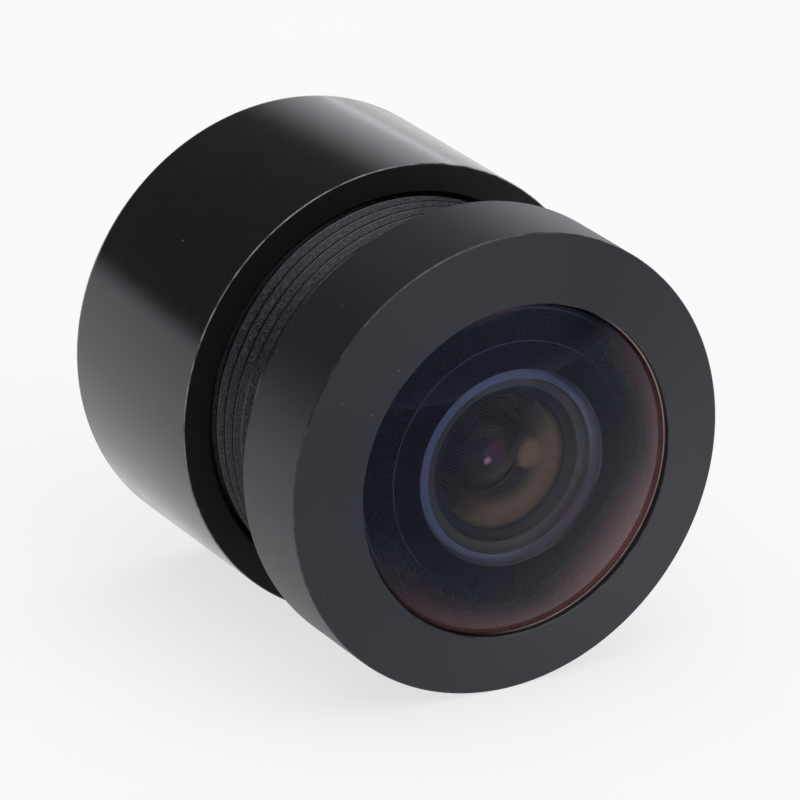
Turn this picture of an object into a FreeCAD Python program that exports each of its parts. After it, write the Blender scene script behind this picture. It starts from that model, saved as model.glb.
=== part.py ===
import FreeCAD, Part
import math
import os

# A board camera lens: a threaded barrel with a wide front head, a stack of lens elements
# inside it, and a push-on dust cap over the rear of the thread. It lies on its side.
# The optical axis is Y. The front glass looks along -Y. Place 0 on the axis is the rear
# shoulder of the head, where the thread begins. All sizes are millimetres.

# Head: the outer shell that screws over the barrel and holds the front lens
head_radius = 7.0
head_length = 3.0
cone_rise = 0.55
ring_opening_radius = 5.05
shell_wall = 0.75
shell_front_chamfer = 0.09
shell_clearance = 0.03

# Barrel: thread, relief groove beside the head, front rim and rear end.
# The real thread is an M12 helix, two turns to the millimetre. Here every second turn is
# a plain ring groove of the same 60 degree section, which keeps the faces few.
thread_radius = 6.0
thread_groove_spacing = 1.0
thread_groove_depth = 0.27
thread_flank_angle = 30.0
relief_depth = 0.45
relief_length = 1.35
thread_end_chamfer = 0.35
barrel_rim_height = 0.25
web_thickness = 0.4
web_hole_radius = 1.1

# Front lens: a negative meniscus, domed in front and hollow behind
front_lens_radius = 5.45
front_lens_seat = 2.65
front_lens_front_curve = 13.0
front_lens_clear_radius = 5.12
front_lens_bevel = 0.14
front_lens_thickness = 1.18
front_lens_hollow_curve = 8.0
front_lens_hollow_radius = 2.84
front_lens_clearance = 0.04

# Rubber seal in a groove under the front lens
seal_ring_radius = 4.9
seal_width = 0.5
seal_height = 0.5
seal_groove_clearance = 0.05

# Front group: everything that slides into the front bore
front_stack_radius = 3.65
rear_stack_radius = 3.35
stack_clearance = 0.03
sheet_thickness = 0.08
clear_margin = 0.06

# Second lens: negative meniscus
second_lens_gap = 0.87
second_lens_front_curve = 8.0
second_lens_front_clear = 2.0
second_lens_thickness = 0.5
second_lens_rear_curve = 2.2
second_lens_rear_clear = 1.8
front_spacer_step = 0.27
front_spacer_steps = 3

# Third lens: thick, convex in front and flat behind
third_lens_gap = 1.05
third_lens_front_curve = 4.5
third_lens_front_clear = 2.0
third_lens_thickness = 2.1
third_lens_rear_clear = 2.1

# Aperture stop
stop_gap = 0.15
stop_hole_radius = 0.7

# Fourth lens, behind the stop: convex on both sides
fourth_lens_gap = 0.1
fourth_lens_front_curve = 6.0
fourth_lens_front_clear = 2.2
fourth_lens_thickness = 2.6
fourth_lens_rear_curve = 5.5
fourth_lens_rear_clear = 2.4

# Rear lens: convex in front and flat behind
rear_lens_gap = 0.25
rear_lens_front_curve = 8.0
rear_lens_front_clear = 2.6
rear_lens_thickness = 1.3
rear_lens_rear_clear = 2.4

# Retaining ring that locks the rear group, with two spanner slots
retaining_ring_length = 0.7
retaining_ring_bore_radius = 2.75
spanner_slot_width = 0.5
spanner_slot_depth = 0.35

# Infrared filter glued into a recess in the rear end
filter_gap = 1.49
filter_radius = 3.9
filter_thickness = 0.3
filter_setback = 0.35
filter_clearance = 0.08
adhesive_thickness = 0.05
adhesive_width = 0.35

# Dust cap pushed over the rear of the thread
cap_mouth_place = 3.6
cap_fit_clearance = 0.04
cap_wall = 0.96
cap_floor_gap = 0.35
cap_floor_thickness = 1.15
cap_mouth_chamfer = 0.12
cap_end_round = 0.35


def sag(curve, radius):
    """Depth of a spherical surface at a radius, with the sign of its curve."""
    depth = abs(curve) - math.sqrt(curve ** 2 - radius ** 2)
    return math.copysign(depth, curve)


def arc_points(curve, vertex, start_radius, end_radius):
    """Middle and end of a spherical surface's section between two radii."""
    middle_radius = (start_radius + end_radius) / 2
    middle = (middle_radius, vertex + sag(curve, middle_radius))
    end = (end_radius, vertex + sag(curve, end_radius))
    return middle, end


def turned(start, *steps):
    """Turn a closed section of (radius, place) about the optical axis.

    A step is the next corner, or an arc's middle and end as a pair of corners.
    A corner that repeats the last one is passed over.
    """
    edges = []
    here = FreeCAD.Vector(start[0], start[1], 0)
    first = here
    for step in steps:
        if isinstance(step[0], tuple):
            middle = FreeCAD.Vector(step[0][0], step[0][1], 0)
            there = FreeCAD.Vector(step[1][0], step[1][1], 0)
            edges.append(Part.Arc(here, middle, there).toShape())
        else:
            there = FreeCAD.Vector(step[0], step[1], 0)
            if there.isEqual(here, 1e-6):
                continue
            edges.append(Part.makeLine(here, there))
        here = there
    edges.append(Part.makeLine(here, first))
    face = Part.Face(Part.Wire(edges))
    return face.revolve(FreeCAD.Vector(0, 0, 0), FreeCAD.Vector(0, 1, 0), 360)


def washer(front, rear, outer_radius, hole_radius):
    """A flat ring between two places on the axis."""
    return turned(
        (hole_radius, front),
        (outer_radius, front),
        (outer_radius, rear),
        (hole_radius, rear),
    )


def curved_lens(vertex, thickness, front_curve, front_clear, rear_curve, rear_clear, edge_radius):
    """A round lens with flat seating rims outside its two polished surfaces.

    A curve is positive when its centre lies behind the surface.
    """
    rear_vertex = vertex + thickness
    front_rim = vertex + sag(front_curve, front_clear)
    rear_rim = rear_vertex + sag(rear_curve, rear_clear)
    return turned(
        (0, vertex),
        arc_points(front_curve, vertex, 0, front_clear),
        (edge_radius, front_rim),
        (edge_radius, rear_rim),
        (rear_clear, rear_rim),
        arc_points(rear_curve, rear_vertex, rear_clear, 0),
    )


def flat_backed_lens(vertex, thickness, front_curve, front_clear, edge_radius):
    """A round lens with a seating rim round its curved front and a flat back."""
    front_rim = vertex + sag(front_curve, front_clear)
    back = vertex + thickness
    return turned(
        (0, vertex),
        arc_points(front_curve, vertex, 0, front_clear),
        (edge_radius, front_rim),
        (edge_radius, back),
        (0, back),
    )


# Places along the axis, worked out from front to rear
seat_place = -front_lens_seat
hollow_vertex = seat_place - sag(front_lens_hollow_curve, front_lens_hollow_radius)
front_vertex = hollow_vertex - front_lens_thickness
glass_rim_place = front_vertex + sag(front_lens_front_curve, front_lens_clear_radius)
glass_edge_place = glass_rim_place + front_lens_bevel
barrel_rim_place = seat_place - barrel_rim_height
ring_edge_place = -head_length - cone_rise

first_baffle_rear = seat_place + sheet_thickness
second_vertex = hollow_vertex + second_lens_gap
second_front_rim = second_vertex + sag(second_lens_front_curve, second_lens_front_clear)
second_rear_vertex = second_vertex + second_lens_thickness
second_rear_rim = second_rear_vertex + sag(second_lens_rear_curve, second_lens_rear_clear)
second_baffle_rear = second_rear_rim + sheet_thickness
third_vertex = second_rear_vertex + third_lens_gap
third_front_rim = third_vertex + sag(third_lens_front_curve, third_lens_front_clear)
third_back = third_vertex + third_lens_thickness
stop_front = third_back + stop_gap
web_front = stop_front + sheet_thickness
web_rear = web_front + web_thickness

fourth_vertex = web_rear + fourth_lens_gap
fourth_front_rim = fourth_vertex + sag(fourth_lens_front_curve, fourth_lens_front_clear)
fourth_rear_vertex = fourth_vertex + fourth_lens_thickness
fourth_rear_rim = fourth_rear_vertex + sag(-fourth_lens_rear_curve, fourth_lens_rear_clear)
rear_lens_vertex = fourth_rear_vertex + rear_lens_gap
rear_lens_front_rim = rear_lens_vertex + sag(rear_lens_front_curve, rear_lens_front_clear)
rear_lens_back = rear_lens_vertex + rear_lens_thickness
third_baffle_rear = rear_lens_back + sheet_thickness
retaining_ring_rear = third_baffle_rear + retaining_ring_length

filter_seat_place = retaining_ring_rear + filter_gap
filter_front = filter_seat_place + adhesive_thickness
filter_rear = filter_front + filter_thickness
barrel_end = filter_rear + filter_setback
cap_floor_place = barrel_end + cap_floor_gap
cap_end_place = cap_floor_place + cap_floor_thickness

# Radii that fit other pieces
shell_bore_radius = head_radius - shell_wall
flange_radius = shell_bore_radius - shell_clearance
pocket_radius = front_lens_radius + front_lens_clearance
front_bore_radius = front_stack_radius + stack_clearance
rear_bore_radius = rear_stack_radius + stack_clearance
filter_recess_radius = filter_radius + filter_clearance
relief_radius = thread_radius - relief_depth
cap_bore_radius = thread_radius + cap_fit_clearance
cap_radius = cap_bore_radius + cap_wall


def thread_corners():
    """Outline of the thread: level crests between evenly spaced V grooves."""
    thread_rear = barrel_end - thread_end_chamfer
    grooves = int((thread_rear - relief_length) / thread_groove_spacing)
    half_width = thread_groove_depth * math.tan(math.radians(thread_flank_angle))
    corners = [(thread_radius, relief_length)]
    for groove in range(grooves):
        middle = relief_length + (groove + 0.5) * thread_groove_spacing
        corners.append((thread_radius, middle - half_width))
        corners.append((thread_radius - thread_groove_depth, middle))
        corners.append((thread_radius, middle + half_width))
    corners.append((thread_radius, thread_rear))
    return corners


def main_barrel():
    """Barrel with the front flange, relief groove, thread and stepped bores."""
    groove_half_width = seal_width / 2 + seal_groove_clearance
    groove_floor = seat_place + seal_height
    return turned(
        (pocket_radius, barrel_rim_place),
        (flange_radius, barrel_rim_place),
        (flange_radius, 0),
        (relief_radius, 0),
        (relief_radius, relief_length),
        *thread_corners(),
        (thread_radius - thread_end_chamfer, barrel_end),
        (filter_recess_radius, barrel_end),
        (filter_recess_radius, filter_seat_place),
        (rear_bore_radius, filter_seat_place),
        (rear_bore_radius, web_rear),
        (web_hole_radius, web_rear),
        (web_hole_radius, web_front),
        (front_bore_radius, web_front),
        (front_bore_radius, seat_place),
        (seal_ring_radius - groove_half_width, seat_place),
        (seal_ring_radius - groove_half_width, groove_floor),
        (seal_ring_radius + groove_half_width, groove_floor),
        (seal_ring_radius + groove_half_width, seat_place),
        (pocket_radius, seat_place),
    )


def front_retaining_cap():
    """Head shell: smooth side wall, conical ring face and the lip over the front lens."""
    lip_clearance = front_lens_clearance / 2
    cone_slope = cone_rise / (head_radius - ring_opening_radius)
    return turned(
        (shell_bore_radius, 0),
        (head_radius, 0),
        (head_radius, -head_length + shell_front_chamfer),
        (head_radius - shell_front_chamfer, -head_length - cone_slope * shell_front_chamfer),
        (ring_opening_radius, ring_edge_place),
        (ring_opening_radius, glass_rim_place - lip_clearance),
        (front_lens_clear_radius, glass_rim_place - lip_clearance),
        (pocket_radius, glass_edge_place - lip_clearance),
        (pocket_radius, barrel_rim_place),
        (shell_bore_radius, barrel_rim_place),
    )


def front_meniscus_lens():
    """Front lens: domed front, flat seating face and a hollow behind."""
    return turned(
        (0, front_vertex),
        arc_points(front_lens_front_curve, front_vertex, 0, front_lens_clear_radius),
        (front_lens_radius, glass_edge_place),
        (front_lens_radius, seat_place),
        (front_lens_hollow_radius, seat_place),
        arc_points(front_lens_hollow_curve, hollow_vertex, front_lens_hollow_radius, 0),
    )


def front_seal_ring():
    """Rubber ring in the groove under the front lens."""
    inner_radius = seal_ring_radius - seal_width / 2
    return washer(seat_place, seat_place + seal_height, inner_radius + seal_width, inner_radius)


def first_baffle_sheet():
    """Thin light shield between the front lens and the front spacer."""
    return washer(seat_place, first_baffle_rear, front_stack_radius, front_lens_hollow_radius)


def front_spacer():
    """Spacer with a bright front face and a stepped bore that narrows towards the second lens."""
    step_length = (second_front_rim - first_baffle_rear) / front_spacer_steps
    corners = []
    for step in range(front_spacer_steps):
        radius = second_lens_front_clear + front_spacer_step * (front_spacer_steps - 1 - step)
        corners.append((radius, first_baffle_rear + step * step_length))
        corners.append((radius, first_baffle_rear + (step + 1) * step_length))
    corners.append((front_stack_radius, second_front_rim))
    corners.append((front_stack_radius, first_baffle_rear))
    return turned(*corners)


def second_lens():
    """Second lens, a small negative meniscus."""
    return curved_lens(
        second_vertex,
        second_lens_thickness,
        second_lens_front_curve,
        second_lens_front_clear,
        second_lens_rear_curve,
        second_lens_rear_clear,
        front_stack_radius,
    )


def second_baffle_sheet():
    """Thin light shield behind the second lens."""
    return washer(second_rear_rim, second_baffle_rear, front_stack_radius, second_lens_rear_clear)


def middle_spacer():
    """Spacer between the second baffle and the third lens."""
    hole_radius = third_lens_front_clear + clear_margin
    return washer(second_baffle_rear, third_front_rim, front_stack_radius, hole_radius)


def third_lens():
    """Third lens, thick, convex in front and flat behind."""
    return flat_backed_lens(
        third_vertex,
        third_lens_thickness,
        third_lens_front_curve,
        third_lens_front_clear,
        front_stack_radius,
    )


def stop_spacer():
    """Spacer that holds the third lens off the aperture stop."""
    hole_radius = third_lens_rear_clear + clear_margin
    return washer(third_back, stop_front, front_stack_radius, hole_radius)


def aperture_stop():
    """Thin disc whose small hole sets the lens's aperture."""
    return washer(stop_front, web_front, front_stack_radius, stop_hole_radius)


def fourth_lens_spacer():
    """Spacer between the barrel's inner web and the fourth lens."""
    hole_radius = fourth_lens_front_clear + clear_margin
    return washer(web_rear, fourth_front_rim, rear_stack_radius, hole_radius)


def fourth_lens():
    """Fourth lens, convex on both sides."""
    return curved_lens(
        fourth_vertex,
        fourth_lens_thickness,
        fourth_lens_front_curve,
        fourth_lens_front_clear,
        -fourth_lens_rear_curve,
        fourth_lens_rear_clear,
        rear_stack_radius,
    )


def rear_spacer():
    """Spacer between the fourth lens and the rear lens."""
    hole_radius = max(fourth_lens_rear_clear, rear_lens_front_clear) + clear_margin
    return washer(fourth_rear_rim, rear_lens_front_rim, rear_stack_radius, hole_radius)


def rear_lens():
    """Rear lens, convex in front and flat behind."""
    return flat_backed_lens(
        rear_lens_vertex,
        rear_lens_thickness,
        rear_lens_front_curve,
        rear_lens_front_clear,
        rear_stack_radius,
    )


def third_baffle_sheet():
    """Thin light shield behind the rear lens."""
    return washer(rear_lens_back, third_baffle_rear, rear_stack_radius, rear_lens_rear_clear)


def rear_retaining_ring():
    """Ring that locks the rear group, with two spanner slots across its rear face."""
    ring = washer(
        third_baffle_rear, retaining_ring_rear, rear_stack_radius, retaining_ring_bore_radius
    )
    corner = FreeCAD.Vector(
        -rear_stack_radius, retaining_ring_rear - spanner_slot_depth, -spanner_slot_width / 2
    )
    slot = Part.makeBox(2 * rear_stack_radius, spanner_slot_depth, spanner_slot_width, corner)
    return ring.cut(slot)


def filter_adhesive():
    """Thin bed of adhesive under the rim of the filter."""
    return washer(filter_seat_place, filter_front, filter_radius, filter_radius - adhesive_width)


def infrared_filter():
    """Round filter glass at the rear end."""
    return turned(
        (0, filter_front),
        (filter_radius, filter_front),
        (filter_radius, filter_rear),
        (0, filter_rear),
    )


def dust_cap():
    """Moulded cap: flat annular mouth, plain wall, closed end with a rounded edge.

    The edge's round is two flats between three points of its quarter circle.
    """
    round_middle_in = cap_end_round * (1 - math.sqrt(0.5))
    return turned(
        (0, cap_floor_place),
        (cap_bore_radius, cap_floor_place),
        (cap_bore_radius, cap_mouth_place + cap_mouth_chamfer),
        (cap_bore_radius + cap_mouth_chamfer, cap_mouth_place),
        (cap_radius, cap_mouth_place),
        (cap_radius, cap_end_place - cap_end_round),
        (cap_radius - round_middle_in, cap_end_place - round_middle_in),
        (cap_radius - cap_end_round, cap_end_place),
        (0, cap_end_place),
    )


pieces = [
    main_barrel,
    front_retaining_cap,
    front_meniscus_lens,
    front_seal_ring,
    first_baffle_sheet,
    front_spacer,
    second_lens,
    second_baffle_sheet,
    middle_spacer,
    third_lens,
    stop_spacer,
    aperture_stop,
    fourth_lens_spacer,
    fourth_lens,
    rear_spacer,
    rear_lens,
    third_baffle_sheet,
    rear_retaining_ring,
    filter_adhesive,
    infrared_filter,
    dust_cap,
]

os.makedirs("parts", exist_ok=True)
for piece in pieces:
    shape = piece()
    if not shape.isValid():
        raise ValueError(piece.__name__ + " is not a valid solid")
    shape.exportStep("parts/" + piece.__name__ + ".step")
    box = shape.BoundBox
    print(
        piece.__name__,
        "volume", round(shape.Volume, 3),
        "solids", len(shape.Solids),
        "along the axis", round(box.YMin, 3), round(box.YMax, 3),
        "radius", round(box.XMax, 3),
    )
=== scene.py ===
import math

import bmesh
import bpy
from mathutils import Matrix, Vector


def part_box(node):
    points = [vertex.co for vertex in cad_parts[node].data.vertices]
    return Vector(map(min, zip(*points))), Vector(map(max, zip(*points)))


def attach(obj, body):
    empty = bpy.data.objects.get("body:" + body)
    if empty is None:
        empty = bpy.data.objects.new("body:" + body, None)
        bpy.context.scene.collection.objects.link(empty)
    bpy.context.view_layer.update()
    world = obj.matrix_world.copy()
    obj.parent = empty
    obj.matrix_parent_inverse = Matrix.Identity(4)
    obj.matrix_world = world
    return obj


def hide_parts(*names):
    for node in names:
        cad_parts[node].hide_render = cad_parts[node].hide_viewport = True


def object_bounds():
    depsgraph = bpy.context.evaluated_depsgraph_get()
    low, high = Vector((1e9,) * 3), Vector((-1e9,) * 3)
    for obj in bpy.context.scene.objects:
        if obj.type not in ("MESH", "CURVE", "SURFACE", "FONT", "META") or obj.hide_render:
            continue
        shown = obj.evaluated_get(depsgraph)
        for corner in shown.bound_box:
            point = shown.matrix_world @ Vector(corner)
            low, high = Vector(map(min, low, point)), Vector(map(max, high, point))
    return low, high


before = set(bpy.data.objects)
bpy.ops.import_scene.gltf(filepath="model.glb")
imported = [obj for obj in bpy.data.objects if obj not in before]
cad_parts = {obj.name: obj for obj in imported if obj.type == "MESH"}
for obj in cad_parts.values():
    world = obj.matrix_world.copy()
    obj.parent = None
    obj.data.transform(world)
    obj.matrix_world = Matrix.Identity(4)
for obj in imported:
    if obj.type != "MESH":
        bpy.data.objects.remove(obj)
cad_low, cad_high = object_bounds()


# Barrel: one turned aluminium piece, bead blasted and anodised black. Its thread is a single
# cut helix, M12 with a pitch of half a millimetre, that starts behind a turned relief groove
# and ends in a chamfer at the rear.
barrel_low, barrel_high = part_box("main_barrel")
thread_radius = 0.006
thread_pitch = 0.0005
thread_depth = 0.00029
thread_crest = 0.0001
thread_root = 0.00006
thread_corner_round = 0.000015
thread_start = 0.00135
lead_in_length = 0.00009
lead_in_depth = 0.0001
rear_chamfer_length = 0.0003
rear_chamfer_depth = 0.00033
relief_radius = 0.00555
relief_corner = 0.00005
glass_bore = 0.00549
seal_groove_outer = 0.0052
seal_groove_inner = 0.0046
seal_groove_depth = 0.0005
front_lens_bore = 0.00368
stop_web_hole = 0.0011
rear_lens_bore = 0.00338
filter_bore = 0.00398
filter_bore_mouth = 0.00402
filter_bore_edge = 0.00004
filter_bore_depth = 0.0007
turn_steps = 144
round_steps = 192


def arc(curve, vertex, start_radius, end_radius, steps=24):
    """Points of a sphere's section; curve is positive when the centre lies behind."""
    points = []
    for step in range(steps + 1):
        radius = start_radius + (end_radius - start_radius) * step / steps
        depth = abs(curve) - math.sqrt(curve ** 2 - radius ** 2)
        points.append((radius, vertex + math.copysign(depth, curve)))
    return points


def section_edges(shape, corners, closed):
    """A chain of edges through corners given as (radius, place along the axis)."""
    points = [shape.verts.new((radius, place, 0)) for radius, place in corners]
    edges = [shape.edges.new(pair) for pair in zip(points, points[1:])]
    if closed:
        edges.append(shape.edges.new((points[-1], points[0])))
    return points + edges


def spin_section(shape, corners, closed=True):
    """Spins a section once round the optical axis and closes its seam and poles."""
    bmesh.ops.spin(
        shape,
        geom=section_edges(shape, corners, closed),
        cent=(0, 0, 0),
        axis=(0, 1, 0),
        angle=2 * math.pi,
        steps=round_steps,
        use_merge=True,
    )
    bmesh.ops.remove_doubles(shape, verts=shape.verts, dist=1e-7)


def finished_piece(name, shape, node, body, materials, sharp_degrees=28):
    """Makes the object, shades it smooth between its sharp edges and joins it to the frame."""
    loose = [edge for edge in shape.edges if not edge.link_faces]
    bmesh.ops.delete(shape, geom=loose, context="EDGES")
    bmesh.ops.recalc_face_normals(shape, faces=shape.faces)
    mesh = bpy.data.meshes.new(name)
    shape.to_mesh(mesh)
    shape.free()
    mesh.shade_smooth()
    mesh.set_sharp_from_angle(angle=math.radians(sharp_degrees))
    for material in materials:
        mesh.materials.append(material)
    piece = bpy.data.objects.new(name, mesh)
    bpy.context.collection.objects.link(piece)
    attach(piece, body)
    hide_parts(node)


def node_material(name):
    """A new material with its node tree and its Principled shader."""
    material = bpy.data.materials.new(name)
    material.use_nodes = True
    tree = material.node_tree
    return material, tree, tree.nodes["Principled BSDF"]


def own_place(tree):
    """A point's place on the piece's own coordinates, in metres."""
    return tree.nodes.new("ShaderNodeTexCoord").outputs["Object"]


def speckle(tree, scale, detail):
    """Fine noise on the piece's own coordinates."""
    grain = tree.nodes.new("ShaderNodeTexNoise")
    grain.inputs["Scale"].default_value = scale
    grain.inputs["Detail"].default_value = detail
    tree.links.new(own_place(tree), grain.inputs["Vector"])
    return grain.outputs["Fac"]


def ramp(tree, source, low, high, low_place=0.3, high_place=0.7):
    """A colour ramp between two grey levels or two colours."""
    steps = tree.nodes.new("ShaderNodeValToRGB")
    first, last = steps.color_ramp.elements
    first.position = low_place
    last.position = high_place
    first.color = low if isinstance(low, tuple) else (low, low, low, 1)
    last.color = high if isinstance(high, tuple) else (high, high, high, 1)
    tree.links.new(source, steps.inputs["Fac"])
    return steps.outputs["Color"]


def colour_by(tree, source, low, high, low_place=0.3, high_place=0.7):
    """Colours the piece from low to high as the source rises."""
    colour = ramp(tree, source, low, high, low_place, high_place)
    tree.links.new(colour, tree.nodes["Principled BSDF"].inputs["Base Color"])


def bump(tree, height, strength, distance):
    """Fine relief from a height, in metres."""
    relief = tree.nodes.new("ShaderNodeBump")
    relief.inputs["Strength"].default_value = strength
    relief.inputs["Distance"].default_value = distance
    tree.links.new(height, relief.inputs["Height"])
    tree.links.new(relief.outputs["Normal"], tree.nodes["Principled BSDF"].inputs["Normal"])


def grained_finish(
    name, grain, dark, light, roughness, places=(0.3, 0.7), gloss=0.5, gloss_tint=(1, 1, 1, 1), relief=None
):
    """A finish that goes from dark to light with a fine grain, given by its scale and detail.
    A roughness of two values goes with it too, and so does a relief of a strength and depth."""
    material, tree, shader = node_material(name)
    height = speckle(tree, *grain)
    colour_by(tree, height, dark, light, *places)
    if isinstance(roughness, tuple):
        tree.links.new(ramp(tree, height, *roughness), shader.inputs["Roughness"])
    else:
        shader.inputs["Roughness"].default_value = roughness
    shader.inputs["Specular IOR Level"].default_value = gloss
    shader.inputs["Specular Tint"].default_value = gloss_tint
    if relief:
        bump(tree, height, *relief)
    return material


def blasted_black():
    """Bead-blasted aluminium under black anodising: matt, with a fine sparkling grain."""
    return grained_finish(
        "blasted_black_anodising",
        grain=(21000, 1.0),
        dark=(0.006, 0.006, 0.008, 1),
        light=(0.072, 0.078, 0.102, 1),
        places=(0.45, 0.74),
        roughness=0.45,
        gloss=0.33,
        relief=(0.7, 0.000012),
    )


def crest_black():
    """The thread's crests, left smooth and darker than the blasted flanks."""
    return grained_finish(
        "smooth_black_crest",
        grain=(6000, 3.0),
        dark=(0.003, 0.003, 0.004, 1),
        light=(0.012, 0.012, 0.014, 1),
        places=(0.5, 0.8),
        roughness=0.22,
        gloss=0.6,
    )


def barrel():
    shape = bmesh.new()
    root_radius = thread_radius - thread_depth
    soft = thread_corner_round
    root_front = thread_crest + (thread_pitch - thread_crest - thread_root) / 2
    root_rear = root_front + thread_root
    tooth = [
        (thread_radius - soft, 0),
        (thread_radius, soft),
        (thread_radius, thread_crest - soft),
        (thread_radius - soft, thread_crest),
        (root_radius + soft, root_front - soft / 2),
        (root_radius, root_front + soft / 2),
        (root_radius, root_rear - soft / 2),
        (root_radius + soft, root_rear + soft / 2),
        (thread_radius - soft, thread_pitch),
    ]
    front_cut = thread_start + lead_in_length
    rear_cut = barrel_high.y - rear_chamfer_length
    start = front_cut - 1.5 * thread_pitch
    bmesh.ops.spin(
        shape,
        geom=section_edges(shape, [(radius, start + place) for radius, place in tooth], False),
        cent=(0, 0, 0),
        axis=(0, 1, 0),
        dvec=(0, thread_pitch / turn_steps, 0),
        angle=2 * math.pi,
        steps=turn_steps,
    )
    turns = 1
    while start + turns * thread_pitch < rear_cut + thread_pitch:
        copied = bmesh.ops.duplicate(shape, geom=shape.verts[:] + shape.edges[:] + shape.faces[:])
        moved = [item for item in copied["geom"] if isinstance(item, bmesh.types.BMVert)]
        bmesh.ops.translate(shape, verts=moved, vec=(0, turns * thread_pitch, 0))
        turns *= 2
    bmesh.ops.remove_doubles(shape, verts=shape.verts, dist=2e-7)
    for face in shape.faces:
        if all(math.hypot(corner.co.x, corner.co.z) > thread_radius - 1.1 * soft for corner in face.verts):
            face.material_index = 1
    for cut, outward in ((front_cut, -1), (rear_cut, 1)):
        bmesh.ops.bisect_plane(
            shape,
            geom=shape.verts[:] + shape.edges[:] + shape.faces[:],
            dist=1e-9,
            plane_co=(0, cut, 0),
            plane_no=(0, outward, 0),
            clear_outer=True,
        )
    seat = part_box("front_seal_ring")[0].y
    web_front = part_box("aperture_stop")[1].y
    web_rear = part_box("fourth_lens_spacer")[0].y
    rim = barrel_low.y
    end = barrel_high.y
    rest = [
        (root_radius - lead_in_depth, thread_start),
        (relief_radius + relief_corner, thread_start),
        (relief_radius, thread_start - relief_corner),
        (relief_radius, relief_corner),
        (relief_radius + relief_corner, 0),
        (barrel_high.x, 0),
        (barrel_high.x, rim),
        (glass_bore, rim),
        (glass_bore, seat),
        (seal_groove_outer, seat),
        (seal_groove_outer, seat + seal_groove_depth),
        (seal_groove_inner, seat + seal_groove_depth),
        (seal_groove_inner, seat),
        (front_lens_bore, seat),
        (front_lens_bore, web_front),
        (stop_web_hole, web_front),
        (stop_web_hole, web_rear),
        (rear_lens_bore, web_rear),
        (rear_lens_bore, end - filter_bore_depth),
        (filter_bore, end - filter_bore_depth),
        (filter_bore, end - filter_bore_edge),
        (filter_bore_mouth, end),
        (thread_radius - rear_chamfer_depth, end),
    ]
    spin_section(shape, rest, closed=False)
    rims = [edge for edge in shape.edges if len(edge.link_faces) == 1]
    middle = (front_cut + rear_cut) / 2
    bmesh.ops.bridge_loops(shape, edges=[rim for rim in rims if rim.verts[0].co.y < middle])
    bmesh.ops.bridge_loops(shape, edges=[rim for rim in rims if rim.verts[0].co.y > middle])
    materials = [blasted_black(), crest_black()]
    finished_piece("threaded_barrel", shape, "main_barrel", "lens", materials)


barrel()


# Head shell: a turned aluminium ring screwed over the barrel's front. Its face is a shallow
# cone with a fine broken edge outside and a small lip over the glass, both edges painted lighter,
# partly wear and partly a painted highlight. Satin black anodised.
shell_low, shell_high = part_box("front_retaining_cap")
shell_radius = shell_high.x
shell_front = shell_low.y
shell_side_front = -0.003
shell_broken_edge = 0.000035
shell_bore = 0.00625
shell_bore_front = -0.0029
ring_opening = 0.00505
ring_lip = 0.00003
ring_back = -0.00334
ring_back_radius = 0.00512
ring_back_slope_end = -0.00319


def face_place(face):
    """How far a face lies from the optical axis, and its place along it."""
    middle = face.calc_center_median()
    return math.hypot(middle.x, middle.z), middle.y


def add_specks(material, scale, size, colour):
    """A few tiny round specks over a finish; size is their radius as a share of their spacing."""
    tree = material.node_tree
    base = tree.nodes["Principled BSDF"].inputs["Base Color"]
    cells = tree.nodes.new("ShaderNodeTexVoronoi")
    cells.inputs["Scale"].default_value = scale
    tree.links.new(own_place(tree), cells.inputs["Vector"])
    near = ramp(tree, cells.outputs["Distance"], 1.0, 0.0, 0.6 * size, size)
    mixed = tree.nodes.new("ShaderNodeMix")
    mixed.data_type = "RGBA"
    mixed.inputs["B"].default_value = colour
    tree.links.new(near, mixed.inputs["Factor"])
    tree.links.new(base.links[0].from_socket, mixed.inputs["A"])
    tree.links.new(mixed.outputs["Result"], base)


def satin_black():
    """Satin black anodising with a faint turned grain and a few specks of dust."""
    material = grained_finish(
        "satin_black_anodising",
        grain=(9000, 3.0),
        dark=(0.004, 0.0042, 0.006, 1),
        light=(0.006, 0.0063, 0.009, 1),
        roughness=(0.40, 0.46),
        gloss=0.52,
        gloss_tint=(0.84, 0.86, 1.0, 1),
        relief=(0.25, 0.000004),
    )
    add_specks(material, scale=1700, size=0.032, colour=(0.20, 0.20, 0.21, 1))
    return material


def worn_edge_and_highlight():
    """Edges painted lighter in short broken stretches, partly anodising rubbed thin and partly a painted
    edge highlight.
    """
    return grained_finish(
        "worn_anodised_edge_and_painted_highlight",
        grain=(3400, 4.0),
        dark=(0.008, 0.008, 0.010, 1),
        light=(0.075, 0.072, 0.074, 1),
        places=(0.46, 0.80),
        roughness=0.35,
        relief=(0.5, 0.000008),
    )


def head_shell():
    cone_slope = (shell_side_front - shell_front) / (shell_radius - ring_opening)
    edge = shell_broken_edge
    shape = bmesh.new()
    spin_section(shape, [
        (shell_bore, 0),
        (shell_radius - edge, 0),
        (shell_radius, -edge),
        (shell_radius, shell_side_front + edge),
        (shell_radius - 0.3 * edge, shell_side_front + 0.3 * edge),
        (shell_radius - edge, shell_side_front - cone_slope * edge),
        (ring_opening + ring_lip, shell_front + cone_slope * ring_lip),
        (ring_opening, shell_front + ring_lip),
        (ring_opening, ring_back),
        (ring_back_radius, ring_back),
        (glass_bore, ring_back_slope_end),
        (glass_bore, shell_bore_front),
        (shell_bore, shell_bore_front),
    ])
    for face in shape.faces:
        radius, place = face_place(face)
        outer_edge = place < shell_side_front + edge and radius > shell_radius - edge
        if outer_edge or (radius < ring_opening + ring_lip and place < shell_front + ring_lip):
            face.material_index = 1
    materials = [satin_black(), worn_edge_and_highlight()]
    finished_piece("head_shell", shape, "front_retaining_cap", "lens", materials, 20)


head_shell()
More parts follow.
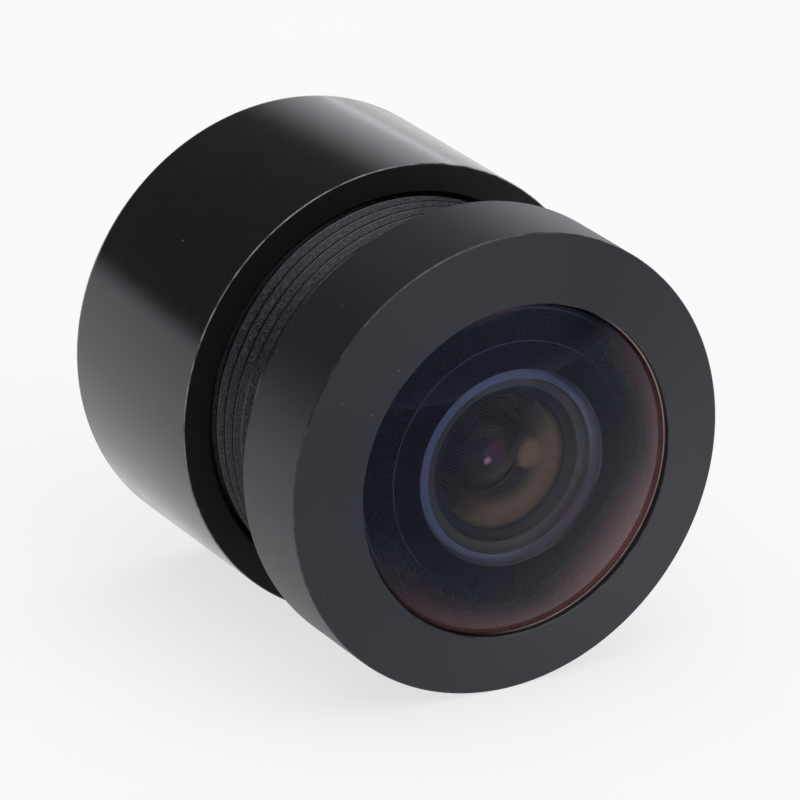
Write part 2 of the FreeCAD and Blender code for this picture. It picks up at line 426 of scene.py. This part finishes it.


# Front glass: a negative meniscus, domed in front and hollow behind, with a dark blue coat and a
# red-brown painted reflection that the glass scatters a little towards the lower right rim. Its flat
# back and edge are inked, bluer towards the upper left as a painted reflection.
glass_low, glass_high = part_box("front_meniscus_lens")
glass_edge_radius = glass_high.x
glass_vertex = glass_low.y
glass_seat = glass_high.y
glass_edge_round = 0.00003
glass_shoulder_depth = 0.00012
glass_edge_depth = 0.00017
dome_curve = 0.013
dome_radius = 0.00512
hollow_curve = 0.008
hollow_radius = 0.00284
bevel_start = 0.00500
bevel_depth = 0.00008
face_margin = 1e-5


def coated_glass(name, bend, mirrored, tint=(1, 1, 1, 1)):
    """Clear coated glass; mirrored is what the coat leaves of bare glass's reflection."""
    material, tree, shader = node_material(name)
    shader.inputs["Base Color"].default_value = tint
    shader.inputs["Roughness"].default_value = 0.0
    shader.inputs["IOR"].default_value = bend
    shader.inputs["Transmission Weight"].default_value = 1.0
    shader.inputs["Specular Tint"].default_value = mirrored
    return material


def vector_step(tree, operation, place, other=(0, 0, 0)):
    """What one step of vector arithmetic makes of a place."""
    step = tree.nodes.new("ShaderNodeVectorMath")
    step.operation = operation
    step.inputs[1].default_value = other
    tree.links.new(place, step.inputs[0])
    return step.outputs


def smooth_change(tree, source, start, end, low, high):
    """A value that goes smoothly from low to high as its source goes from start to end."""
    change = tree.nodes.new("ShaderNodeMapRange")
    change.interpolation_type = "SMOOTHSTEP"
    change.inputs["From Min"].default_value = start
    change.inputs["From Max"].default_value = end
    change.inputs["To Min"].default_value = low
    change.inputs["To Max"].default_value = high
    tree.links.new(source, change.inputs["Value"])
    return change.outputs["Result"]


def two_values(tree, operation, first, second):
    """Two values made into one, such as their product or the larger of them."""
    joined = tree.nodes.new("ShaderNodeMath")
    joined.operation = operation
    tree.links.new(first, joined.inputs[0])
    tree.links.new(second, joined.inputs[1])
    return joined.outputs["Value"]


def along(tree, direction, start, end, low, high):
    """A value that goes from low to high between two places along a direction."""
    reach = vector_step(tree, "DOT_PRODUCT", own_place(tree), direction)["Value"]
    return smooth_change(tree, reach, start, end, low, high)


def around_spot(tree, middle, inner, outer, inside, outside):
    """A value that changes between two radii around a spot on a lens."""
    shifted = vector_step(tree, "SUBTRACT", own_place(tree), middle)["Vector"]
    flat = vector_step(tree, "MULTIPLY", shifted, (1, 0, 1))["Vector"]
    radius = vector_step(tree, "LENGTH", flat)["Value"]
    return smooth_change(tree, radius, inner, outer, inside, outside)


def scatter(tree, amount, most):
    """Scatters a share of the light instead of letting it through; most is the largest share."""
    clear = tree.nodes.new("ShaderNodeMapRange")
    clear.inputs["To Min"].default_value = 1.0
    clear.inputs["To Max"].default_value = 1.0 - most
    tree.links.new(amount, clear.inputs["Value"])
    tree.links.new(clear.outputs["Result"], tree.nodes["Principled BSDF"].inputs["Transmission Weight"])


def reflection_haze(tree, amount, colour, most):
    """Paints a coloured reflection into clear glass by making it scatter a coloured share of the light."""
    colour_by(tree, amount, (1, 1, 1, 1), colour, 0.0, 0.1)
    scatter(tree, amount, most)


def dome_glass():
    """The dome's coated glass. Towards its rim, most of all at the lower right, and in a narrow
    stretch at the top, the glass scatters a little red-brown light as a painted reflection."""
    material = coated_glass("dome_glass", bend=1.52, mirrored=(0.21, 0.235, 0.40, 1))
    tree = material.node_tree
    # Painted reflection: red-brown haze placed towards the lower right, round the low side of the rim and in
    # a thin line at the top.
    lower_right_reflection = along(tree, (0.75, 0, -0.66), 0.0027, 0.0052, 0, 1)
    outer = around_spot(tree, (0, 0, 0), 0.0038, 0.0050, 0, 1)
    low_side_reflection = along(tree, (0.60, 0, -0.80), -0.0022, 0.0042, 0, 0.75)
    rim = two_values(tree, "MULTIPLY", outer, low_side_reflection)
    painted_top_line = along(tree, (-0.12, 0, 0.99), 0.00475, 0.0051, 0, 0.6)
    painted_glow = two_values(tree, "MAXIMUM", two_values(tree, "MAXIMUM", lower_right_reflection, rim), painted_top_line)
    reflection_haze(tree, painted_glow, colour=(0.52, 0.23, 0.23, 1), most=0.22)
    return material


def edge_ink():
    """Black ink on the glass's flat back and edge, bluer towards the upper left as a painted reflection."""
    material, tree, shader = node_material("edge_ink")
    # Painted reflection: the ink is coloured bluer towards the upper left.
    upper_left_reflection = along(tree, (-0.75, 0, 0.66), -0.002, 0.0040, 0, 1)
    colour_by(tree, upper_left_reflection, (0.005, 0.005, 0.007, 1), (0.045, 0.054, 0.100, 1), 0, 1)
    shader.inputs["Roughness"].default_value = 0.6
    shader.inputs["Specular IOR Level"].default_value = 0.2
    return material


def polished_bevel():
    """The glass's fine front bevel with a painted highlight: a thin pale line on the right and a browner one
    on top.
    """
    material, tree, shader = node_material("polished_bevel")
    # Painted highlight: the bevel is coloured pale on the right and browner on top, dark elsewhere.
    right = along(tree, (0.94, 0, -0.34), 0.0005, 0.0032, 0, 1)
    painted_top_line = along(tree, (-0.15, 0, 0.99), 0.0040, 0.0048, 0, 0.45)
    painted_highlight = two_values(tree, "MAXIMUM", right, painted_top_line)
    colour_by(tree, painted_highlight, (0.02, 0.015, 0.015, 1), (0.95, 0.78, 0.73, 1), 0, 1)
    shader.inputs["Roughness"].default_value = 0.4
    return material


def front_glass():
    shape = bmesh.new()
    rim_place = arc(dome_curve, glass_vertex, 0, dome_radius)[-1][1]
    hollow_vertex = glass_seat - hollow_curve + math.sqrt(hollow_curve ** 2 - hollow_radius ** 2)
    corners = arc(dome_curve, glass_vertex, 0, bevel_start, 40)
    corners.append((dome_radius, corners[-1][1] + bevel_depth))
    corners.append((glass_edge_radius - glass_edge_round, rim_place + glass_shoulder_depth))
    corners.append((glass_edge_radius, rim_place + glass_edge_depth))
    corners.append((glass_edge_radius, glass_seat))
    corners += arc(hollow_curve, hollow_vertex, hollow_radius, 0, 32)
    spin_section(shape, corners, closed=False)
    for face in shape.faces:
        radius, place = face_place(face)
        if radius < hollow_radius and place > hollow_vertex - face_margin:
            face.material_index = 3
        elif bevel_start < radius < dome_radius and place < rim_place + bevel_depth:
            face.material_index = 2
        elif radius > dome_radius or (radius > hollow_radius and place > glass_seat - face_margin):
            face.material_index = 1
    hollow_glass = coated_glass("hollow_glass", bend=1.40, mirrored=(0.03, 0.03, 0.04, 1))
    materials = [dome_glass(), edge_ink(), polished_bevel(), hollow_glass]
    finished_piece("front_glass", shape, "front_meniscus_lens", "lens", materials, 6)


front_glass()


# Front spacer and the light shield over it: a ring whose slightly coned front face shows blue
# through the glass, with black turned steps that narrow towards the second lens, the first painted
# lighter and the deeper ones darker as painted shade. The shield is punched from thin matt film.
spacer_low, spacer_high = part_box("front_spacer")
second_lens_clear = 0.002
step_rise = 0.00027
step_count = 3
step_edge = 0.00002
blue_outer = 0.00287
blue_fall = 0.0001


def bore_finish(name, dark, light, roughness, gloss, gloss_tint=(1, 1, 1, 1)):
    """Inside finish of turned rings, with a fine grain."""
    return grained_finish(
        name,
        grain=(16000, 2.0),
        dark=dark,
        light=light,
        roughness=roughness,
        gloss=gloss,
        gloss_tint=gloss_tint,
        relief=(0.3, 0.000003),
    )


def front_spacer():
    length = (spacer_high.y - spacer_low.y) / step_count
    section = []
    for step in range(step_count):
        radius = second_lens_clear + step_rise * (step_count - 1 - step)
        front = spacer_low.y + step * length
        section.append((radius + step_edge, front))
        section.append((radius, front + step_edge))
        section.append((radius, front + length))
    section.append((spacer_high.x, spacer_high.y))
    section.append((spacer_high.x, spacer_low.y))
    section.append((blue_outer + step_edge, spacer_low.y))
    section.append((blue_outer, spacer_low.y + blue_fall))
    shape = bmesh.new()
    spin_section(shape, section)
    for face in shape.faces:
        radius, place = face_place(face)
        if section[0][0] < radius < blue_outer and place < spacer_low.y + blue_fall:
            face.material_index = 1
        elif place < spacer_low.y + length + step_edge:
            face.material_index = 2
    # Painted light and shade: the first step is lighter where light falls on it, the deeper steps are kept
    # darker.
    blue_low, blue_high = (0.020, 0.028, 0.066, 1), (0.030, 0.042, 0.094, 1)
    lit_step_low, lit_step_high = (0.004, 0.005, 0.0055, 1), (0.0065, 0.008, 0.009, 1)
    materials = [
        bore_black,
        bore_finish("ground_blue", blue_low, blue_high, 0.30, 0.6, (0.5, 0.62, 1.0, 1)),
        bore_finish("first_step_painted_light", lit_step_low, lit_step_high, 0.45, 0.3),
    ]
    finished_piece("stepped_spacer", shape, "front_spacer", "lens", materials, 15)


def turned_piece(name, corners, node, body, materials, sharp_degrees=28):
    """A piece made by one closed turned section; it is open where it meets the axis."""
    shape = bmesh.new()
    meets_axis = corners[0][0] == 0 and corners[-1][0] == 0
    spin_section(shape, corners, closed=not meets_axis)
    finished_piece(name, shape, node, body, materials, sharp_degrees)


def flat_ring(name, node, hole_radius, material):
    """A plain flat ring that fills its node's place, its hole's edges broken."""
    low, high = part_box(node)
    edge = min(0.00002, (high.y - low.y) / 4)
    section = [
        (hole_radius + edge, low.y),
        (high.x, low.y),
        (high.x, high.y),
        (hole_radius + edge, high.y),
        (hole_radius, high.y - edge),
        (hole_radius, low.y + edge),
    ]
    turned_piece(name, section, node, "lens", [material], 15)


bore_black = bore_finish("bore_black", (0.002, 0.002, 0.002, 1), (0.004, 0.004, 0.0045, 1), 0.5, 0.1)
shield_film = grained_finish("shield_film", grain=(8000, 2.0), dark=0.006, light=0.012, roughness=0.55)
front_spacer()
flat_ring("first_shield", "first_baffle_sheet", hollow_radius, shield_film)


# Inner lenses: polished elements with coated surfaces and seating rims, dropped into the bore
# one after another with film shields and turned spacers between them.
def inner_lens(name, node, front_curve, front_clear, back_curve, back_clear, materials):
    """A polished element that fills its node's place, with a ground rim; a back curve of 0 is
    flat."""
    low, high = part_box(node)
    corners = arc(front_curve, low.y, 0, front_clear)
    if back_curve:
        back_vertex = high.y
        if back_curve > 0:
            back_vertex -= back_curve - math.sqrt(back_curve ** 2 - back_clear ** 2)
        back = arc(back_curve, back_vertex, back_clear, 0)
        corners += [(high.x, corners[-1][1]), (high.x, back[0][1])]
        corners += back
    else:
        corners += [(high.x, corners[-1][1]), (high.x, high.y), (0, high.y)]
    shape = bmesh.new()
    spin_section(shape, corners, closed=False)
    middle_place = (low.y + high.y) / 2
    for face in shape.faces:
        radius, place = face_place(face)
        polished = back_clear if place > middle_place and back_clear else front_clear
        if radius > polished:
            face.material_index = 1
    finished_piece(name, shape, node, "lens", materials, 25)


def olive_glass():
    """The second lens's coated glass, with a hazy olive brown painted reflection at its lower right
    edge and in a patch beside the pupil."""
    material = coated_glass("olive_coated_glass", bend=1.77, mirrored=(0.05, 0.035, 0.015, 1))
    tree = material.node_tree
    # Painted reflection: an olive brown crescent at the lower right edge and a patch beside the pupil.
    edge = around_spot(tree, (0, 0, 0), 0.0009, 0.0014, 0, 1)
    lower_right_reflection = along(tree, (0.70, 0, -0.71), -0.0004, 0.0012, 0, 0.8)
    reflection_crescent = two_values(tree, "MULTIPLY", edge, lower_right_reflection)
    reflection_patch = around_spot(tree, (0.00085, 0, 0.0001), 0.00030, 0.00055, 1, 0)
    reflection_haze(tree, two_values(tree, "MAXIMUM", reflection_crescent, reflection_patch), colour=(0.50, 0.33, 0.18, 1), most=0.22)
    return material


def pupil_glass():
    """The third lens's coated glass, with painted reflections: a violet glow at the pupil and a pale pink
    glint.
    """
    material = coated_glass("pupil_coated_glass", bend=1.77, mirrored=(0.04, 0.035, 0.06, 1))
    tree = material.node_tree
    # Painted reflections: the violet glow and the pink glint are scattered from the glass, not let through.
    painted_glow = around_spot(tree, (0.00035, 0, -0.0002), 0.00040, 0.00058, 0.34, 0)
    point = around_spot(tree, (0.00004, 0, -0.00036), 0.00006, 0.00027, 1.0, 0)
    both = two_values(tree, "MAXIMUM", painted_glow, point)
    colour_by(tree, both, (0.34, 0.08, 0.55, 1), (1.0, 0.72, 0.80, 1), 0.34, 1.0)
    scatter(tree, both, most=1.0)
    return material


# Painted reflection: the second lens's ground rim is coloured olive brown.
olive_reflection_rim = bore_finish("ground_rim_painted_reflection", (0.10, 0.078, 0.046, 1), (0.16, 0.125, 0.078, 1), 0.5, 0.3)
violet_glass = coated_glass("violet_coated_glass", bend=1.77, mirrored=(1, 0.2, 1, 1))
for name, node, front_curve, front_clear, back_curve, back_clear, glass, rim in (
    ("second_lens_glass", "second_lens", 0.008, second_lens_clear, 0.0022, 0.0018, olive_glass(), olive_reflection_rim),
    ("third_lens_glass", "third_lens", 0.0045, 0.002, 0, 0, pupil_glass(), bore_black),
    ("fourth_lens_glass", "fourth_lens", 0.006, 0.0022, -0.0055, 0.0024, violet_glass, bore_black),
    ("rear_lens_glass", "rear_lens", 0.008, 0.0026, 0, 0, violet_glass, bore_black),
):
    inner_lens(name, node, front_curve, front_clear, back_curve, back_clear, [glass, rim])
for name, node, hole_radius, slot, material in (
    ("second_shield", "second_baffle_sheet", 0.0018, "black_film", shield_film),
    ("third_shield", "third_baffle_sheet", 0.0024, "black_film", shield_film),
    ("middle_ring", "middle_spacer", 0.00206, "black_anodised", bore_black),
    ("stop_ring", "stop_spacer", 0.00216, "black_anodised", bore_black),
    ("fourth_ring", "fourth_lens_spacer", 0.00226, "black_anodised", bore_black),
    ("rear_ring", "rear_spacer", 0.00266, "black_anodised", bore_black),
):
    flat_ring(name, node, hole_radius, material)


# Aperture stop: a thin disc of chemically blackened metal with a small hole on the axis. The
# stop spacer holds it against the barrel's web.
stop_hole = 0.0007


def stop_black():
    material = grained_finish("stop_black", grain=(14000, 2.0), dark=0.008, light=0.02, roughness=0.4)
    material.node_tree.nodes["Principled BSDF"].inputs["Metallic"].default_value = 0.4
    return material


flat_ring("stop_disc", "aperture_stop", stop_hole, stop_black())


# Rear end and seal: the slotted ring that locks the rear group, the infrared filter and its
# adhesive bed, which show when the cap is pulled off. The rubber ring seals the front glass.
filter_broken_edge = 0.00004


def filter_plate():
    low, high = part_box("infrared_filter")
    edge = filter_broken_edge
    section = [
        (0, low.y),
        (high.x - edge, low.y),
        (high.x, low.y + edge),
        (high.x, high.y - edge),
        (high.x - edge, high.y),
        (0, high.y),
    ]
    pink_filter = coated_glass(
        "filter_glass", bend=1.52, mirrored=(1, 0.35, 0.6, 1), tint=(0.75, 0.95, 0.92, 1)
    )
    turned_piece("filter_plate", section, "infrared_filter", "lens", [pink_filter])


def rubber_black():
    """Soft black rubber."""
    return grained_finish(
        "seal_rubber", grain=(9000, 3.0), dark=0.012, light=0.022, roughness=0.7, relief=(0.3, 0.00001)
    )


def cured_adhesive():
    """Dark cured adhesive, uneven and slightly glossy."""
    return grained_finish(
        "cured_adhesive",
        grain=(3000, 3.0),
        dark=(0.02, 0.018, 0.016, 1),
        light=(0.05, 0.045, 0.04, 1),
        roughness=0.3,
        relief=(0.4, 0.00002),
    )


def finish_node(node, material):
    """Gives a piece that keeps its CAD shape its material."""
    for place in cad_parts[node].material_slots:
        place.material = material


filter_plate()
finish_node("front_seal_ring", rubber_black())
finish_node("filter_adhesive", cured_adhesive())
finish_node("rear_retaining_ring", bore_black)


# Dust cap: black moulded plastic pushed over the rear of the thread, glossy, with a flat matt
# mouth whose outer edge is painted pale, partly scuffs and partly a painted highlight, and a
# rounded closed end.
cap_low, cap_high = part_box("dust_cap")
cap_radius = cap_high.x
cap_mouth = cap_low.y
cap_end = cap_high.y
cap_bore = 0.00604
cap_floor = 0.009549
cap_floor_corner = 0.0002
cap_end_round = 0.00035
cap_round_steps = 8
mouth_bevel = 0.00003
mouth_chamfer = 0.00012


def moulded_black():
    """Glossy black plastic with a faint moulding ripple and a few fine marks."""
    material = grained_finish(
        "moulded_black_plastic",
        grain=(2200, 2.0),
        dark=(0.004, 0.004, 0.0045, 1),
        light=(0.006, 0.006, 0.0065, 1),
        roughness=(0.12, 0.16),
        gloss=0.52,
        gloss_tint=(0.88, 0.88, 1.0, 1),
    )
    add_specks(material, scale=700, size=0.025, colour=(0.16, 0.16, 0.17, 1))
    tree = material.node_tree
    bump(tree, speckle(tree, 420, 1.0), 0.06, 0.00003)
    return material


def mouth_black():
    """Matt black where the mould parts."""
    return grained_finish(
        "matt_black_plastic",
        grain=(9000, 2.0),
        dark=(0.004, 0.004, 0.004, 1),
        light=(0.006, 0.006, 0.006, 1),
        roughness=0.55,
        gloss=0.25,
        relief=(0.2, 0.000004),
    )


def scuffed_edge_and_highlight():
    """The cap's outer mouth edge, painted pale and nicked: partly scuffing and partly a painted edge
    highlight.
    """
    return grained_finish(
        "scuffed_plastic_and_painted_highlight",
        grain=(2600, 4.0),
        dark=(0.02, 0.02, 0.021, 1),
        light=(0.24, 0.24, 0.26, 1),
        places=(0.35, 0.66),
        roughness=0.4,
        relief=(0.5, 0.00001),
    )


def dust_cap():
    section = [
        (0, cap_floor),
        (cap_bore - cap_floor_corner, cap_floor),
        (cap_bore, cap_floor - cap_floor_corner),
        (cap_bore, cap_mouth + mouth_chamfer),
        (cap_bore + mouth_chamfer, cap_mouth),
        (cap_radius - mouth_bevel, cap_mouth),
        (cap_radius, cap_mouth + mouth_bevel),
    ]
    for step in range(cap_round_steps + 1):
        turn = math.pi / 2 * step / cap_round_steps
        section.append((
            cap_radius - cap_end_round * (1 - math.cos(turn)),
            cap_end - cap_end_round * (1 - math.sin(turn)),
        ))
    section.append((0, cap_end))
    shape = bmesh.new()
    spin_section(shape, section, closed=False)
    for face in shape.faces:
        radius, place = face_place(face)
        if cap_radius - mouth_bevel < radius < cap_radius and place < cap_mouth + mouth_bevel:
            face.material_index = 2
        elif place < cap_mouth + mouth_chamfer or radius < cap_bore + mouth_chamfer:
            face.material_index = 1
    materials = [moulded_black(), mouth_black(), scuffed_edge_and_highlight()]
    finished_piece("moulded_dust_cap", shape, "dust_cap", "cap", materials, 20)


dust_cap()


# Floor and background: a plain white table that keeps the object's shadow. It rises in a low
# curve far away, and the pale horizon of the room shows above it.
table_radius = 1.0
table_steps = 96
table_whitened_share = 0.72


def white_floor():
    """White card; to the eye and in reflections it is nearer to white than its lit colour."""
    material = grained_finish("white_table", grain=(60, 2.0), dark=0.80, light=0.83, roughness=0.7)
    tree = material.node_tree
    white = tree.nodes.new("ShaderNodeEmission")
    white.inputs["Strength"].default_value = 1.0
    ray = tree.nodes.new("ShaderNodeLightPath").outputs
    mirrored = two_values(tree, "MAXIMUM", ray["Is Glossy Ray"], ray["Is Transmission Ray"])
    seen = two_values(tree, "MAXIMUM", ray["Is Camera Ray"], mirrored)
    share = tree.nodes.new("ShaderNodeMath")
    share.operation = "MULTIPLY"
    share.inputs[1].default_value = table_whitened_share
    tree.links.new(seen, share.inputs[0])
    both = tree.nodes.new("ShaderNodeMixShader")
    tree.links.new(share.outputs["Value"], both.inputs["Fac"])
    tree.links.new(tree.nodes["Principled BSDF"].outputs["BSDF"], both.inputs[1])
    tree.links.new(white.outputs["Emission"], both.inputs[2])
    tree.links.new(both.outputs["Shader"], tree.nodes["Material Output"].inputs["Surface"])
    return material


def floor():
    shape = bmesh.new()
    bmesh.ops.create_circle(shape, cap_ends=True, segments=table_steps, radius=table_radius)
    for corner in shape.verts:
        corner.co.z = cad_low.z
    for outward, upward in ((1.08, 0.003), (1.08, 0.010), (1.04, 0.014)):
        rim = [edge for edge in shape.edges if len(edge.link_faces) == 1]
        grown = bmesh.ops.extrude_edge_only(shape, edges=rim)
        for corner in grown["geom"]:
            if isinstance(corner, bmesh.types.BMVert):
                corner.co.x *= outward
                corner.co.y *= outward
                corner.co.z += upward
    bmesh.ops.recalc_face_normals(shape, faces=shape.faces)
    mesh = bpy.data.meshes.new("table_top")
    shape.to_mesh(mesh)
    shape.free()
    mesh.materials.append(white_floor())
    table = bpy.data.objects.new("table_top", mesh)
    bpy.context.collection.objects.link(table)


floor()


# World: a dim studio room with one large soft box overhead, one low at the right behind and
# one in front. Its walls grow paler down to the horizon.
horizon_level = 0.85
wall_level = 0.11
wall_height = 0.12
room_colour = (0.96, 0.975, 1.0, 1)


def studio_world():
    world = bpy.data.worlds.new("studio")
    bpy.context.scene.world = world
    world.use_nodes = True
    tree = world.node_tree
    tree.nodes.clear()
    around = tree.nodes.new("ShaderNodeTexCoord").outputs["Generated"]

    def soft_box(towards, full_degrees, edge_degrees, level):
        """Light from around one direction, even inside one angle and gone at another."""
        across = vector_step(tree, "DOT_PRODUCT", around, Vector(towards).normalized())["Value"]
        gone = math.cos(math.radians(edge_degrees))
        full = math.cos(math.radians(full_degrees))
        return smooth_change(tree, across, gone, full, 0, level)

    overhead = soft_box((0.0, -0.1, 1.0), full_degrees=34, edge_degrees=52, level=1.7)
    behind = soft_box((0.8, 0.6, -0.05), full_degrees=15, edge_degrees=44, level=1.0)
    front = soft_box((0.26, -0.90, 0.34), full_degrees=12, edge_degrees=44, level=1.1)
    height = tree.nodes.new("ShaderNodeSeparateXYZ")
    tree.links.new(around, height.inputs["Vector"])
    walls = smooth_change(tree, height.outputs["Z"], 0, wall_height, horizon_level, wall_level)
    boxes = two_values(tree, "ADD", overhead, behind)
    level = two_values(tree, "ADD", boxes, two_values(tree, "ADD", front, walls))
    light = tree.nodes.new("ShaderNodeBackground")
    light.inputs["Color"].default_value = room_colour
    tree.links.new(level, light.inputs["Strength"])
    out = tree.nodes.new("ShaderNodeOutputWorld")
    tree.links.new(light.outputs["Background"], out.inputs["Surface"])


studio_world()


# Camera: at the photograph's angle and distance, behind a long lens. It is aimed so that the
# object sits in the frame as it does there.
camera_azimuth = math.radians(-30.04)
camera_elevation = math.radians(22.32)
camera_distance = 0.190
camera_lens = 295.2
aim_right = -0.001617
aim_up = 0.00089


def photo_camera():
    level = math.cos(camera_elevation)
    back = Vector((
        math.sin(camera_azimuth) * level,
        -math.cos(camera_azimuth) * level,
        math.sin(camera_elevation),
    ))
    right = Vector((math.cos(camera_azimuth), math.sin(camera_azimuth), 0))
    up = back.cross(right)
    place = back * camera_distance
    aim = right * aim_right + up * aim_up
    camera = bpy.data.cameras.new("photo_camera")
    camera.lens = camera_lens
    camera.clip_start = 0.005
    camera.clip_end = 5
    holder = bpy.data.objects.new("photo_camera", camera)
    holder.location = place
    holder.rotation_euler = (aim - place).to_track_quat("-Z", "Y").to_euler()
    bpy.context.collection.objects.link(holder)
    bpy.context.scene.camera = holder


photo_camera()
bpy.context.scene.view_settings.view_transform = "Standard"
